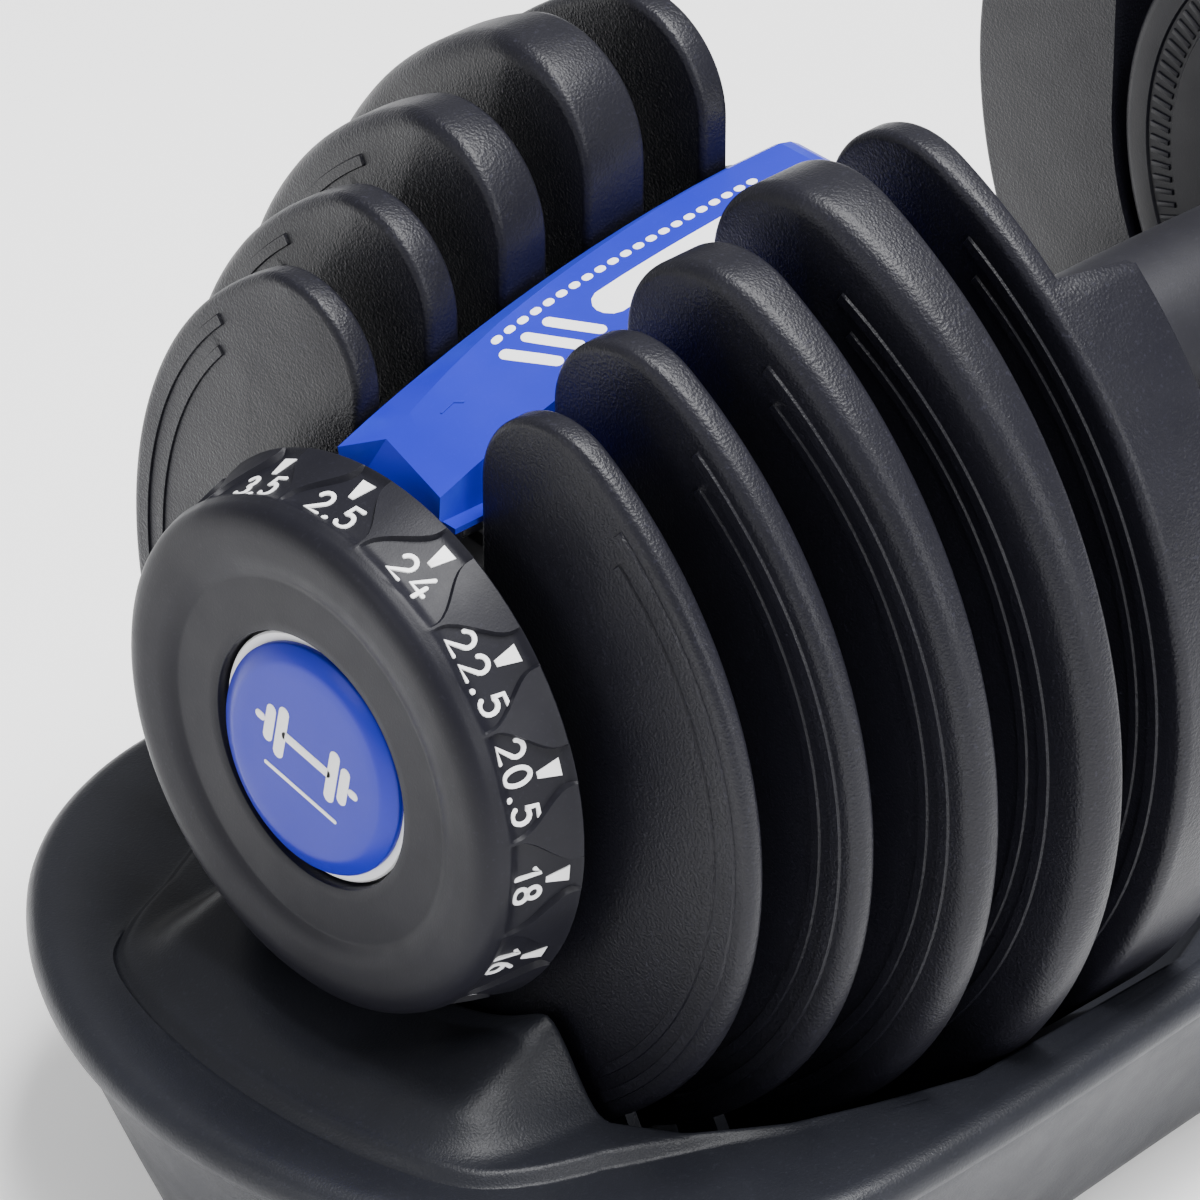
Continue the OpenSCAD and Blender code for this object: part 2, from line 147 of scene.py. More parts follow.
def make(name, shell, body, nodes, materials, side=None, sharp=38.0):
    """Turns a shell into a Blender object that rides on a CAD body and stands for its nodes."""
    co = place(side, np.vstack(shell.points))
    mesh = bpy.data.meshes.new(name)
    mesh.from_pydata(co.tolist(), [], shell.faces)
    mesh.polygons.foreach_set("material_index", shell.tags)
    bm = bmesh.new()
    bm.from_mesh(mesh)
    bmesh.ops.remove_doubles(bm, verts=bm.verts, dist=WELD)
    bmesh.ops.dissolve_degenerate(bm, edges=bm.edges, dist=SLIVER)
    bmesh.ops.recalc_face_normals(bm, faces=bm.faces)
    bm.to_mesh(mesh)
    bm.free()
    mesh.shade_smooth()
    mesh.set_sharp_from_angle(angle=math.radians(sharp))
    for material in materials:
        mesh.materials.append(material)
    piece = bpy.data.objects.new(name, mesh)
    bpy.context.scene.collection.objects.link(piece)
    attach(piece, body)
    if nodes:
        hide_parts(*nodes)
    return piece


def bevel(piece, width, angle):
    """Rounds the edges that are sharper than the angle, in degrees."""
    m = piece.modifiers.new("edges", "BEVEL")
    m.width = width * MM
    m.segments = 3
    m.limit_method = "ANGLE"
    m.angle_limit = math.radians(angle)
    m.harden_normals = False


def lathe(shell, profile, segments=128):
    """Turns a (u, r) profile about the handle axis."""
    a = np.linspace(0, 2 * math.pi, segments, endpoint=False)
    rows = [np.column_stack((np.full(segments, u), r * np.cos(a), r * np.sin(a))) for u, r in profile]
    shell.grid(rows, wrap=True)


# ---------- materials ----------

class Nodes:
    """Short way to build a node material."""

    def __init__(self, name):
        self.material = bpy.data.materials.new(name)
        self.material.use_nodes = True
        self.tree = self.material.node_tree
        self.shader = self.tree.nodes["Principled BSDF"]
        self.position = self.node("ShaderNodeTexCoord").outputs["Object"]

    def node(self, kind, **settings):
        n = self.tree.nodes.new(kind)
        for key, value in settings.items():
            setattr(n, key, value)
        return n

    def link(self, out, into):
        self.tree.links.new(out, into)

    def noise(self, per_mm, detail=3.0, rough=0.55, stretch=None):
        n = self.node("ShaderNodeTexNoise")
        n.inputs["Scale"].default_value = per_mm * 1000
        n.inputs["Detail"].default_value = detail
        n.inputs["Roughness"].default_value = rough
        source = self.position
        if stretch:
            m = self.node("ShaderNodeMapping")
            m.inputs["Scale"].default_value = stretch
            self.link(source, m.inputs["Vector"])
            source = m.outputs["Vector"]
        self.link(source, n.inputs["Vector"])
        return n.outputs["Fac"]

    def cells(self, per_mm):
        n = self.node("ShaderNodeTexVoronoi")
        n.inputs["Scale"].default_value = per_mm * 1000
        self.link(self.position, n.inputs["Vector"])
        return n.outputs["Distance"]

    def remap(self, value, low, high, to_low, to_high):
        n = self.node("ShaderNodeMapRange")
        for key, v in (("From Min", low), ("From Max", high), ("To Min", to_low), ("To Max", to_high)):
            n.inputs[key].default_value = v
        self.link(value, n.inputs["Value"])
        return n.outputs["Result"]

    def mix(self, fac, a, b):
        n = self.node("ShaderNodeMix", data_type="RGBA")
        # inputs 0, 6 and 7 are the factor and the two colours
        for key, v in ((6, a), (7, b)):
            if isinstance(v, tuple):
                n.inputs[key].default_value = (*v, 1.0)
            else:
                self.link(v, n.inputs[key])
        if isinstance(fac, float):
            n.inputs[0].default_value = fac
        else:
            self.link(fac, n.inputs[0])
        return n.outputs[2]

    def bump(self, height, strength, depth_mm, under=None):
        n = self.node("ShaderNodeBump")
        n.inputs["Strength"].default_value = strength
        n.inputs["Distance"].default_value = depth_mm * MM
        self.link(height, n.inputs["Height"])
        if under:
            self.link(under, n.inputs["Normal"])
        return n.outputs["Normal"]


def moulded(name, colour, roughness, grain=2.6, grain_depth=0.02, specular=0.5, edge=0.5,
            worn=None, mottle=0.12, painted_glint=0.35):
    """Moulded plastic, rubber or coated metal with a fine grain, lighter specks painted into the colour as
    glints on the grain, and slightly worn edges.
    """
    n = Nodes(name)
    patches = n.noise(0.035, 4.0, 0.6)
    dark = tuple(c * (1 - mottle) for c in colour)
    light = tuple(c * (1 + mottle) for c in colour)
    base = n.mix(n.remap(patches, 0.3, 0.7, 0.0, 1.0), dark, light)
    # painted highlight: small lighter specks in the base colour stand in for glints of light on the grain
    painted_glint_specks = n.remap(n.noise(1.3, 2.0), 0.6, 0.72, 0.0, painted_glint)
    worn = worn or tuple(min(1.0, c * 1.6 + 0.006) for c in colour)
    base = n.mix(painted_glint_specks, base, tuple(min(1.0, c * 2.2) for c in colour))
    rim = n.node("ShaderNodeNewGeometry").outputs["Pointiness"]
    scuffs = n.noise(0.25, 5.0, 0.7)
    edges = n.node("ShaderNodeMath", operation="MULTIPLY")
    n.link(n.remap(rim, 0.52, 0.62, 0.0, edge), edges.inputs[0])
    n.link(n.remap(scuffs, 0.35, 0.65, 0.4, 1.0), edges.inputs[1])
    base = n.mix(edges.outputs[0], base, worn)
    n.link(base, n.shader.inputs["Base Color"])
    rough = n.remap(n.noise(0.09, 5.0, 0.65), 0.3, 0.7, roughness - 0.05, roughness + 0.05)
    n.link(rough, n.shader.inputs["Roughness"])
    n.shader.inputs["Specular IOR Level"].default_value = specular
    coarse = n.bump(n.noise(grain, 3.0, 0.6), 0.9, grain_depth)
    fine = n.bump(n.cells(grain * 1.3), 0.6, grain_depth * 0.7, coarse)
    n.link(fine, n.shader.inputs["Normal"])
    return n.material


def metal(name, colour, roughness, streak=(1.0, 40.0, 40.0)):
    """Drawn or plated metal with fine streaks and cloudy patches."""
    n = Nodes(name)
    streaks = n.noise(0.06, 6.0, 0.7, stretch=streak)
    clouds = n.noise(0.05, 4.0, 0.6)
    dark = tuple(c * 0.8 for c in colour)
    n.link(n.mix(n.remap(clouds, 0.3, 0.7, 0.0, 1.0), dark, colour), n.shader.inputs["Base Color"])
    n.link(n.remap(streaks, 0.3, 0.7, roughness - 0.07, roughness + 0.09), n.shader.inputs["Roughness"])
    n.shader.inputs["Metallic"].default_value = 1.0
    n.link(n.bump(streaks, 0.4, 0.004), n.shader.inputs["Normal"])
    return n.material


# the plate coat carries the strongest painted glint specks
COAT = moulded("plate_coat", (0.008, 0.008, 0.012), 0.38, grain=1.5, grain_depth=0.13,
               specular=0.22, edge=0.4, painted_glint=0.8)
BASE = moulded("base_plastic", (0.014, 0.015, 0.020), 0.40, grain=1.8, grain_depth=0.07,
               specular=0.26, edge=0.25)
HANDLE = moulded("handle_plastic", (0.008, 0.008, 0.012), 0.42, grain=2.4, grain_depth=0.025,
                 specular=0.16)
DIAL = moulded("dial_rubber", (0.009, 0.009, 0.013), 0.42, grain=2.2, grain_depth=0.022,
               specular=0.15, edge=0.45, mottle=0.16)
GRIP = moulded("grip_rubber", (0.013, 0.013, 0.017), 0.5, grain=2.8, grain_depth=0.03,
               specular=0.3, edge=0.2)
FOOT = moulded("foot_rubber", (0.014, 0.014, 0.014), 0.75, grain=2.0, grain_depth=0.03)
BLUE = moulded("blue_plastic", (0.012, 0.016, 0.36), 0.34, grain=4.0, grain_depth=0.01,
               specular=0.22, edge=0.2, worn=(0.05, 0.09, 0.5), mottle=0.04, painted_glint=0.05)
WHITE = moulded("white_print", (0.86, 0.86, 0.87), 0.45, grain=4.0, grain_depth=0.006,
                edge=0.0, worn=(0.9, 0.9, 0.9), mottle=0.03, painted_glint=0.0)
SELECTOR = moulded("selector_plastic", (0.07, 0.07, 0.075), 0.42, grain=3.0, grain_depth=0.01)
STEEL = metal("steel", (0.62, 0.62, 0.64), 0.3)
ZINC = metal("zinc_plate", (0.56, 0.57, 0.59), 0.36, streak=(8.0, 8.0, 8.0))
FINISH = {"plate_coat": COAT, "base_plastic": BASE, "handle_plastic": HANDLE, "dial_rubber": DIAL,
          "grip_rubber": GRIP, "foot_rubber": FOOT, "blue_plastic": BLUE, "white_plastic": WHITE,
          "selector_plastic": SELECTOR, "steel": STEEL, "zinc_plate": ZINC}


# ---------- weight plates ----------

def plate_half_outline(k):
    """Points and outward normals of a plate's outline for y >= 0, from the slot's bottom over the
    horn and round the rim to the bottom."""
    r = PLATE_R[k]
    cx, cz = horn_centre(k)
    points, normals = [], []
    for a in np.radians(np.linspace(-90, 0, 13)):
        points.append((SLOT_HALF * math.cos(a), SLOT_HALF * math.sin(a) - SLOT_DROP))
        normals.append((-math.cos(a), -math.sin(a)))
    for z in np.linspace(-SLOT_DROP, cz, 16)[1:]:
        points.append((SLOT_HALF, z))
        normals.append((-1.0, 0.0))
    tangent = math.atan2(cz, cx)
    for a in np.linspace(math.pi, tangent, 27)[1:]:
        points.append((cx + HORN_R[k] * math.cos(a), cz + HORN_R[k] * math.sin(a)))
        normals.append((math.cos(a), math.sin(a)))
    crease_a = math.acos(CREASE[k] / (r - RIM_EDGE_R[k]))
    marks = [tangent, crease_a, -crease_a, -math.pi / 2]
    for top in (RIB_TOP[k], RIB_TOP[k] - RIB_STEP):
        for skew in (0.0, RIB_SKEW):
            marks += [math.radians(top - skew), math.radians(top - skew) - RIB_RAMP / r]
    if k == INNERMOST:
        marks.append(math.acos(WELL_HALF / r))
    marks.sort(reverse=True)
    for start, stop in zip(marks, marks[1:]):
        steps = max(1, round(math.degrees(start - stop)))
        for a in np.linspace(start, stop, steps + 1)[1:]:
            points.append((r * math.cos(a), r * math.sin(a)))
            normals.append((math.cos(a), math.sin(a)))
    return np.array(points), np.array(normals)


def horn_centre(k):
    """Centre, as (y, z), of the arc that rounds the top of a horn into the rim."""
    cx = SLOT_HALF + HORN_R[k]
    return cx, math.sqrt((PLATE_R[k] - HORN_R[k]) ** 2 - cx * cx)


def crease_y(k, z):
    """Where the flat middle of the outer face ends; the crease bends in to the top of the horn."""
    cx, cz = horn_centre(k)
    return CREASE[k] - (CREASE[k] - cx) * smooth((z - cz + 6.0) / (HORN_R[k] + 4.5))


def face_height(k, y, z):
    """How far the outer face lies inwards from the plate's outermost plane."""
    d = np.clip(np.abs(y) - crease_y(k, z), 0, None)
    reach = PLATE_R[k] - CREASE[k]
    return PLATE_FALL[k] * (d * d / (d + FALL_BLEND)) / (reach * reach / (reach + FALL_BLEND))


def front_edge(k, points):
    """Radius of the rounding round the outer face: small in the slot, larger on horn and rim."""
    y = np.abs(points[:, 0])
    on_low_rim = (points[:, 1] < 0) & (np.hypot(*points.T) > PLATE_R[k] - 0.01)
    on_horn = smooth((y - SLOT_HALF) / (0.8 * HORN_R[k]))
    past_horn = smooth((y - horn_centre(k)[0]) / 14.0)
    edge = SLOT_EDGE_R + (HORN_EDGE_R[k] - SLOT_EDGE_R) * on_horn
    edge += (RIM_EDGE_R[k] - HORN_EDGE_R[k]) * past_horn
    return np.where(on_low_rim, RIM_EDGE_R[k], edge)


def rib_rows(k):
    """Radius, height and top angle of the rows that shape the two ribs of a plate's outer face."""
    rows = []
    inner = (RIB_R[k] - RIB_GAP, 0.8, 0.4, RIB_TOP[k] - RIB_STEP)
    outer = (RIB_R[k], 0.9, 0.45, RIB_TOP[k])
    for centre, half, high, top in (inner, outer):
        for from_centre, rise in ((-half - 0.2, 0.0), (-half, high), (-half + 0.3, high),
                                  (half - 0.3, high), (half, high), (half + 0.2, 0.0)):
            rows.append((centre + from_centre, rise, top))
    return rows


def plate_full(k):
    """Thickness of a plate at its thickest."""
    return HEAVY_U - PLATE_U[k] if k == INNERMOST else PLATE_T[k]


def plate_faces(shell, k, front):
    """Flat middle of the outer face and its two wings, which carry the ribs.
    front: the first half of the face's edge, from the slot's bottom over the horn and the rim."""
    top_i = int(np.argmax(front[:, 2]))
    low_i = [i for i in range(top_i, len(front)) if front[i][1] >= CREASE[k] - 1e-6][-1]
    span = front[top_i:low_i + 1]
    theta, r_out = np.arctan2(span[:, 2], span[:, 1]), np.hypot(span[:, 1], span[:, 2])
    # radius at which each direction meets the crease, found by halving
    near, far = np.full(len(theta), 5.0), r_out.copy()
    for _ in range(40):
        middle = (near + far) / 2
        outside = middle * np.cos(theta) > crease_y(k, middle * np.sin(theta))
        near, far = np.where(outside, near, middle), np.where(outside, middle, far)
    r_in = np.minimum(far, r_out)
    r_in[0] = r_out[0]
    r_in[-1] = r_out[-1]
    ribs = rib_rows(k)
    first = np.clip(ribs[0][0], r_in, r_out)
    last = np.clip(ribs[-1][0], r_in, r_out)
    radii = [(r_in + (first - r_in) * f, 0.0, 0.0) for f in (0, 0.05, 0.12, 0.28, 0.5, 0.75)]
    radii += [(np.clip(rad, r_in, r_out), high, top) for rad, high, top in ribs]
    radii += [(last + (r_out - last) * f, 0.0, 0.0) for f in (0.5, 1.0)]
    for sign in (1, -1):
        wing = []
        for rad, high, top in radii:
            y, z = rad * np.cos(theta), rad * np.sin(theta)
            end = math.radians(top - (RIB_SKEW if sign > 0 else 0.0))
            taper = smooth((end - theta) * PLATE_R[k] / RIB_RAMP) * smooth((rad - r_in) / 2.5)
            wing.append(np.column_stack((face_height(k, y, z) - high * taper, sign * y, z)))
        shell.grid(wing)
    y, z = r_in * np.cos(theta), r_in * np.sin(theta)
    crease = np.column_stack((face_height(k, y, z), y, z))
    half = np.vstack((front[:top_i], crease, front[low_i + 1:]))
    shell.fill(np.vstack((half, (half * [1, -1, 1])[-2:0:-1])))


def heavy_back(shell, rear, depth, thin):
    """Back of the innermost plate: a thick lower body round the opening for the inner cap."""
    thick = np.flatnonzero(depth > thin + 1e-6)
    lo, hi = thick[0] - 1, thick[-1] + 1
    opening = []
    for u, y, z in rear[lo:hi + 1]:
        if z > 0:
            opening.append((u, math.copysign(min(WELL_HALF, abs(y)), y), z))
        else:
            opening.append((u, *(WELL_HALF * np.array((y, z)) / math.hypot(y, z))))
    floor = np.array(opening)
    floor[:, 0] = thin
    shell.grid([rear[lo:hi + 1], opening])
    shell.grid([opening, floor])
    shell.fill(np.vstack((floor, rear[hi + 1:], rear[:lo])))


def weight_plate(k, side):
    """One slotted plate; k counts from the outermost."""
    shell = Shell()
    r, thin = PLATE_R[k], PLATE_T[k]
    half_p, half_n = plate_half_outline(k)
    points = np.vstack((half_p, (half_p * [-1, 1])[-2:0:-1]))
    normals = np.vstack((half_n, (half_n * [-1, 1])[-2:0:-1]))
    depth = np.full(len(points), thin)
    if k == INNERMOST:
        corner = math.acos(WELL_HALF / r)
        angle = np.arctan2(points[:, 1], np.abs(points[:, 0]))
        on_rim = np.hypot(*points.T) > r - 0.01
        growth = (plate_full(k) - thin) * smooth((corner - angle) * r / 3.0)
        depth = np.where(on_rim, thin + growth, thin)
    edge = front_edge(k, points)[:, None]
    rows = []
    for a in np.radians([0, 15, 30, 45, 60, 75, 90]):
        q = points - normals * edge * (1 - math.sin(a))
        rows.append(np.column_stack((face_height(k, *q.T)[:, None] + edge * (1 - math.cos(a)), q)))
    for b in np.radians([0, 30, 60, 90]):
        q = points - normals * REAR_EDGE_R * (1 - math.cos(b))
        rows.append(np.column_stack((depth - REAR_EDGE_R + REAR_EDGE_R * math.sin(b), q)))
    shell.grid(rows, wrap=True)
    plate_faces(shell, k, rows[0][:len(half_p)])
    if k == INNERMOST:
        heavy_back(shell, rows[-1], depth, thin)
    else:
        shell.fill(rows[-1])
    # lug that the selector's ribs carry, below the slot
    lug = rounded_box((thin - 0.5, -3.5, -26.0), (thin + 3.5, 3.5, -21.5), 0.5)
    shell.grid(lug)
    for end in (lug[0], lug[-1]):
        shell.cap(end)
    shell.points = [p + [PLATE_U[k], 0, 0] for p in shell.points]
    make(f"weight_plate_{side}_{k + 1}", shell, f"weight_{side}_{k + 1}",
         [f"plate_{side}_{k + 1}"], [COAT], side, sharp=50.0)


def rounded_box(lo, hi, r):
    """Rows of points along u for a block whose long edges and ends are rounded."""
    def ring(u, inset):
        out = []
        y0, y1, z0, z1 = lo[1] + r, hi[1] - r, lo[2] + r, hi[2] - r
        for turn, (cy, cz) in enumerate(((y1, z1), (y0, z1), (y0, z0), (y1, z0))):
            for a in np.radians(90 * turn + np.array([0, 30, 60, 90])):
                out.append((u, cy + (r - inset) * math.cos(a), cz + (r - inset) * math.sin(a)))
        return out + out[:1]
    return [ring(lo[0], r * 0.9), ring(lo[0] + r * 0.3, r * 0.3), ring(lo[0] + r, 0),
            ring(hi[0] - r, 0), ring(hi[0] - r * 0.3, r * 0.3), ring(hi[0], r * 0.9)]


# ---------- dial ----------

def facet_half(u):
    """Half width, in degrees, of a number facet: narrow at the back, wide at the front."""
    return 3.7 + 7.6 * smooth((16.8 - u) / 10.8)


def dial_radius(u, phi):
    """Radius of the dial's side; phi is in degrees from the nearest setting's middle."""
    u, phi = np.asarray(u, float), np.asarray(phi, float)
    cone = 46.7 + 0.2313 * u
    inside = np.abs(phi) <= facet_half(u) + 1e-6
    start = smooth((u - 3.6) / 3.2)
    end = smooth((18.2 - u) / 1.2)
    facet = 0.75 + 0.6 * (1 - (phi / (PITCH / 2)) ** 2)
    return cone - np.where(inside, facet, 0.1) * start * (0.35 + 0.65 * end)


def dial_columns(u):
    """Angles of the columns round one pitch, in degrees from the middle of its facet: the facet
    itself, a narrow step on each side of it, and the land before the next one."""
    w = float(facet_half(u))
    step = 0.42
    return [*np.linspace(-w, w, 9), *np.linspace(w + step, PITCH - w - step, 5)]


def dial(side):
    """Wheel with its recessed front, number facets and back, as rings of points from front to back."""
    shell = Shell()
    front = [(7.0, 20.9), (4.85, 20.9), (4.85, 23.7), (2.3, 23.7), (1.7, 23.9), (1.45, 24.6), (1.4, 26.0),
             (1.4, 33.6), (1.35, 34.4), (0.75, 35.2), (0.3, 38.5), (0.05, 41.5), (0.02, 43.0),
             (0.25, 44.5), (0.8, 45.7), (1.6, 46.6), (2.6, 47.1), (3.4, 47.3)]
    back = [(18.25, 50.6), (18.5, 49.9), (18.5, 32.0), (18.5, 14.6)]
    sides = [4.0, 4.6, 5.2, 5.9, 6.6, 7.6, 9.0, 10.2, 11.4, 12.6, 13.8, 15.0, 16.0, 16.9, 17.5, 17.95]

    def ring(u, r=None):
        """Points round the dial at depth u; with no radius given they lie on its side."""
        out = []
        for n in reversed(range(len(SETTINGS))):
            for phi in dial_columns(max(u, 4.2)):
                local = phi if phi <= PITCH / 2 else phi - PITCH
                radius = float(dial_radius(u, local)) if r is None else r
                a = math.radians(90.0 - PITCH * n + phi)
                out.append((u, radius * math.cos(a), radius * math.sin(a)))
        return out

    rows = [ring(u, r) for u, r in front] + [ring(u) for u in sides] + [ring(u, r) for u, r in back]
    shell.grid(rows, wrap=True)
    make(f"dial_wheel_{side}", shell, f"selector_{side}", [f"dial_{side}"], [DIAL],
         side, sharp=34.0)


def arc(cx, cz, rx, rz, start, stop, n):
    """Points along part of an ellipse, between two angles in degrees."""
    return [(cx + rx * math.cos(a), cz + rz * math.sin(a)) for a in np.radians(np.linspace(start, stop, n))]


# Strokes of each digit, in digit heights
GLYPHS = {
    "0": [arc(0.31, 0.5, 0.31, 0.5, 90, 450, 25)],
    "1": [[(0.08, 0.76), (0.32, 1.0), (0.32, 0.0)]],
    "2": [arc(0.31, 0.7, 0.30, 0.30, 165, -35, 12) + [(0.02, 0.0), (0.62, 0.0)]],
    "3": [arc(0.3, 0.745, 0.27, 0.255, 150, -80, 11) + arc(0.3, 0.265, 0.31, 0.265, 78, -150, 12)],
    "4": [[(0.42, 1.0), (0.0, 0.30), (0.68, 0.30)], [(0.49, 0.58), (0.49, 0.0)]],
    "5": [[(0.56, 1.0), (0.12, 1.0), (0.08, 0.56)] + arc(0.30, 0.33, 0.31, 0.33, 125, -150, 13)],
    "6": [[(0.48, 1.0), (0.2, 0.72)] + arc(0.32, 0.31, 0.31, 0.31, 160, 520, 22)],
    "8": [arc(0.31, 0.755, 0.25, 0.245, -90, 270, 20), arc(0.31, 0.26, 0.31, 0.26, 90, 450, 22)],
    "9": [[(0.16, 0.0), (0.44, 0.28)] + arc(0.32, 0.69, 0.31, 0.31, -20, 340, 22)],
    ".": [[(0.05, 0.0), (0.051, 0.03)]],
}
ADVANCE = {"1": 0.86, ".": 0.46}  # pen travel in digit heights; 1 for the others
DIGIT_GAP = 0.38
DIGIT_H = 4.9
DIGIT_U = 6.0  # foot of the digits
STROKE = 0.42
MARK_R = 49.4  # mean radius at which the digits are laid round the dial


def stroke(shell, line, half_w, surface, high, tag=0):
    """A flat raised stroke with round ends along a line of (across, along) points in mm."""
    line = np.array(line, float)
    step = np.diff(line, axis=0)
    keep = np.concatenate(([True], np.hypot(*step.T) > 1e-6))
    line = line[keep]
    direction = np.gradient(line, axis=0)
    direction /= np.hypot(*direction.T)[:, None]
    normal = np.column_stack((-direction[:, 1], direction[:, 0]))
    centre = [line[0]] * 4 + list(line[1:-1]) + [line[-1]] * 4
    lead = [-1.0, -0.92, -0.62, -0.2] + [0.0] * (len(line) - 2) + [0.2, 0.62, 0.92, 1.0]
    index = [0] * 4 + list(range(1, len(line) - 1)) + [len(line) - 1] * 4
    # sides narrow upwards; at each end, four points with a lead along the line make it round
    rows = []
    for scale, h in ((1.14, -0.25), (1.05, high * 0.55), (0.9, high)):
        left, right = [], []
        for c, s, i in zip(centre, lead, index):
            side_w = math.sqrt(max(0.0, 1 - s * s)) * half_w * scale
            along = c + direction[i] * s * half_w * scale
            left.append(surface(*(along + normal[i] * side_w), h))
            right.append(surface(*(along - normal[i] * side_w), h))
        rows.append((left, right))
    shell.grid([rows[0][0], rows[1][0], rows[2][0], rows[2][1], rows[1][1], rows[0][1]], tag=tag)


def mark_quad(shell, corners, surface, high):
    """A raised flat patch with the given corners, split into strips that follow the surface."""
    a, b, c, d = (np.array(p, float) for p in corners)
    rings = []
    for grow, h in ((0.08, -0.2), (0.03, high * 0.6), (-0.06, high)):
        middle = (a + b + c + d) / 4
        quad = [p + (p - middle) / np.hypot(*(p - middle)) * grow for p in (a, b, c, d)]
        ring = []
        for p, q in zip(quad, quad[1:] + quad[:1]):
            ring += [p + (q - p) * f for f in (0, 0.25, 0.5, 0.75)]
        rings.append([surface(*p, h) for p in ring])
    shell.grid(rings, wrap=True)
    shell.fill(rings[-1])


def dial_marks(side):
    """White numbers and pointers, one on each facet."""
    shell = Shell()
    for n, text in enumerate(SETTINGS):
        centre = 90.0 - PITCH * n

        def surface(across, along, h):
            phi = math.degrees(across / MARK_R)
            r = float(dial_radius(along, np.clip(phi, -facet_half(along), facet_half(along)))) + h
            a = math.radians(centre + phi)
            return (along, r * math.cos(a), r * math.sin(a))

        width = sum(ADVANCE.get(ch, 1.0) for ch in text) - DIGIT_GAP
        pen = -width / 2 * DIGIT_H
        for ch in text:
            for line in GLYPHS[ch]:
                mm = [(pen + x * DIGIT_H, DIGIT_U + z * DIGIT_H) for x, z in line]
                stroke(shell, mm, STROKE * (1.25 if ch == "." else 1.0), surface, 0.2)
            pen += ADVANCE.get(ch, 1.0) * DIGIT_H
        mark_quad(shell, [(-0.6, 12.0), (0.6, 12.0), (1.6, 16.3), (-1.6, 16.3)], surface, 0.18)
    make(f"dial_marks_{side}", shell, f"selector_{side}", [], [WHITE], side)


# Blue cap: a slightly oval button
CAP_TILT = math.radians(-44.0)
CAP_LONG = 23.1
CAP_SHORT = 21.3
CAP_U = 0.6


def dial_centre(side):
    """White insert and the blue cap with its bevelled edge, which leaves two white crescents."""
    shell = Shell()
    lathe(shell, [(4.75, 0.01), (4.75, 22.6), (4.4, 23.1), (3.5, 23.15), (3.2, 22.8), (3.2, 0.01)])
    make(f"dial_insert_disc_{side}", shell, f"selector_{side}",
         [f"dial_insert_{side}"], [WHITE], side)
    shell = Shell()
    a = np.linspace(0, 2 * math.pi, 160, endpoint=False)
    ca, sa = np.cos(a - CAP_TILT), np.sin(a - CAP_TILT)
    rows = []
    for u, inset in ((3.15, 0.0), (2.3, 0.0), (1.9, 0.25), (0.85, 2.7), (0.7, 3.1), (0.62, 3.7),
                     (CAP_U, 6.0), (CAP_U, 12.0), (CAP_U, 19.4)):
        r = 1.0 / np.sqrt((ca / (CAP_LONG - inset)) ** 2 + (sa / (CAP_SHORT - min(inset, 19.3))) ** 2)
        rows.append(np.column_stack((np.full(len(a), u), r * np.cos(a), r * np.sin(a))))
    shell.grid(rows, wrap=True)
    shell.cap(rows[-1])
    emblem(shell)
    make(f"dial_button_{side}", shell, f"selector_{side}", [f"dial_cap_{side}"],
         [BLUE, WHITE], side)


def bar(shell, start, stop, half_w, surface, high, pieces):
    """A straight stroke with a point every so often, so that it follows a curved surface."""
    a, b = np.array(start), np.array(stop)
    stroke(shell, [a + (b - a) * f for f in np.linspace(0, 1, pieces)], half_w, surface, high, tag=1)


def emblem(shell):
    """A plain dumbbell sign on the cap, with one line under it."""
    tilt = math.radians(-12.0)

    def surface(across, along, h):
        y, z = -across, along
        return (CAP_U - h, y * math.cos(tilt) + z * math.sin(tilt), z * math.cos(tilt) - y * math.sin(tilt))

    bars = [((-5.5, 2.0), (5.5, 2.0), 0.9),
            ((-6.6, -2.4), (-6.6, 6.4), 1.2), ((6.6, -2.4), (6.6, 6.4), 1.2),
            ((-9.6, -0.9), (-9.6, 4.9), 1.1), ((9.6, -0.9), (9.6, 4.9), 1.1),
            ((-12.4, 2.0), (-11.6, 2.0), 0.8), ((11.6, 2.0), (12.4, 2.0), 0.8),
            ((-9.0, -6.6), (9.0, -6.6), 0.4)]
    for start, stop, half_w in bars:
        bar(shell, start, stop, half_w, surface, 0.12, 5)


# ---------- top cover ----------

COVER_ARC, COVER_PEAK_U, COVER_PEAK_Z = 290.0, 124.2, 66.9
COVER_HALF, COVER_LOW = 13.9, 43.0
FLANGE_OUT = 0.4
FLANGE_TOP = COVER_LOW + 1.1
# The two long edges of the top face: along the cover, across it, and height above the cover line
COVER_RIDGE = [(26.5, 7.2, 0.5), (32.0, 7.4, 1.4), (42.0, 8.2, 2.4), (54.0, 9.2, 2.8),
               (66.0, 10.2, 2.3), (80.0, 11.4, 1.5), (95.0, 12.6, 0.8)]
COVER_EDGE = [(22.8, -10.4, -0.2), (32.0, -10.6, 0.1), (54.0, -11.4, 0.5), (80.0, -12.4, 0.5),
              (95.0, -12.8, 0.5)]


def cover_line(u):
    """Height of the cover's shoulder above the axis: an arc that climbs inwards."""
    return COVER_PEAK_Z - COVER_ARC + math.sqrt(COVER_ARC ** 2 - (COVER_PEAK_U - u) ** 2)


def cover_point(edge, u, drop=0.0):
    """Point of one of the top face's edges at u."""
    along = [p[0] for p in edge]
    across, lift = (float(np.interp(u, along, [p[n] for p in edge])) for n in (1, 2))
    return (u, across, cover_line(u) + lift - drop)


